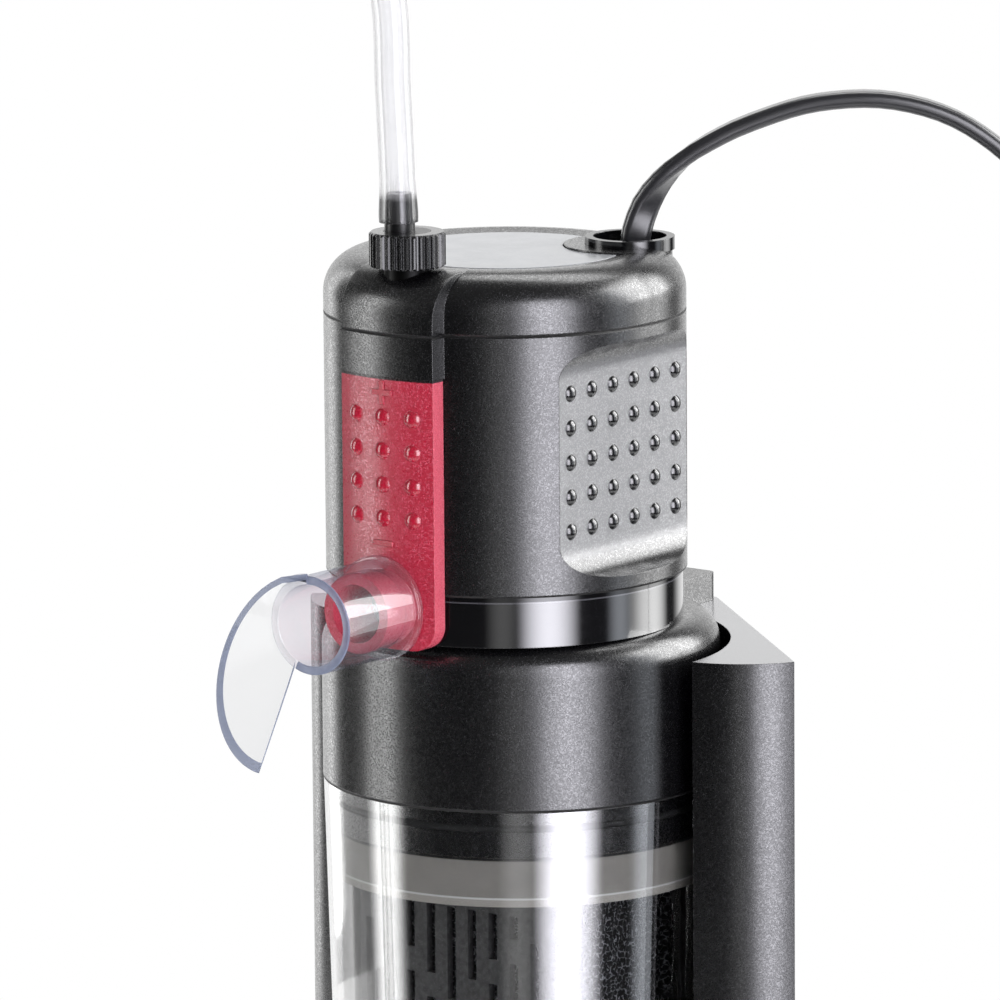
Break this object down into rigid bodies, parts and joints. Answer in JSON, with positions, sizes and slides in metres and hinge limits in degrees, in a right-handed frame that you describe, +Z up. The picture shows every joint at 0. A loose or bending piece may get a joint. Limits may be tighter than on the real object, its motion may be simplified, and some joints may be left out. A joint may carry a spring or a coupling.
{
  "type": "canister filter",
  "caption": "Submersible aquarium canister filter: clear media jar, pump head with flow slider, swivelling outlet, air control, hose, lead and corner holder.",
  "frame": {"origin": "on the floor under the axis of the pump head, in the plane of the jar's flat base", "axes": "+Z up along the head's axis, -Y the way the outlet faces, +X to the right seen from the front"},
  "size_m": [0.195, 0.1435, 0.33],
  "materials": {
    "textured_black": "fine textured moulding",
    "gloss_black": "polished moulding",
    "knob_black": "satin moulding",
    "clear": "clear moulded plastic",
    "clear_hose": "clear soft tube",
    "red": "satin crimson moulding",
    "rim_grey": "translucent grey moulding",
    "basket": "dark grey moulding",
    "foam": "open black foam",
    "disc_grey": "glossy light grey plate",
    "rubber": "soft black rubber",
    "lead_black": "smooth black PVC",
    "potting": "cast resin and moulding",
    "impeller_white": "white moulding",
    "ceramic": "ground ceramic",
    "magnet": "sintered ferrite",
    "pin_metal": "nickel plated"
  },
  "bodies": {
    "holder": {"holder": "textured_black", "suction_cups": "rubber"},
    "canister": {"jar": "clear", "collar": "textured_black", "collar_seal": "rubber", "upper_cartridge_rim": "rim_grey", "upper_cartridge": "basket", "upper_foam": "foam", "lower_cartridge_rim": "rim_grey", "lower_cartridge": "basket", "lower_foam": "foam"},
    "head": {"neck": "gloss_black", "neck_seal": "rubber", "volute_cover": "potting", "lower_bush": "rubber", "upper_bush": "rubber", "shaft": "ceramic", "stator": "potting", "air_pipe": "knob_black", "head_shell": "textured_black", "cap": "textured_black", "top_disc": "disc_grey", "cable_gland": "gloss_black", "strain_relief": "rubber", "air_nipple": "knob_black", "air_hose": "clear_hose", "air_intake": "knob_black", "power_cable": "lead_black", "cable_coil": "lead_black", "cable_tie": "lead_black", "plug_body": "lead_black", "plug_pins": "pin_metal"},
    "rotor": {"impeller": "impeller_white", "rotor_magnet": "magnet"},
    "flow_slider": {"flow_slider": "red"},
    "nozzle": {"nozzle": "clear"},
    "air_knob": {"air_knob": "knob_black"}
  },
  "joints": [
    {"name": "canister_lift", "type": "slide", "parent": "holder", "child": "canister", "axis": [0, 0, 1], "range_m": [0, 0.012]},
    {"name": "head_pull", "type": "slide", "parent": "canister", "child": "head", "axis": [0, 0, 1], "range_m": [0, 0.014]},
    {"name": "rotor_spin", "type": "hinge", "parent": "head", "child": "rotor", "pos_m": [0, 0, 0.1983], "axis": [0, 0, 1], "continuous": true},
    {"name": "flow_slide", "type": "slide", "parent": "head", "child": "flow_slider", "axis": [0, 0, 1], "range_m": [-0.008, 0]},
    {"name": "nozzle_turn", "type": "hinge", "parent": "flow_slider", "child": "nozzle", "pos_m": [0, -0.038, 0.18495], "axis": [0, -1, 0], "continuous": true},
    {"name": "air_knob_turn", "type": "hinge", "parent": "head", "child": "air_knob", "pos_m": [0, -0.0267, 0.2453], "axis": [0, 0, 1], "range_deg": [0, 270]}
  ]
}
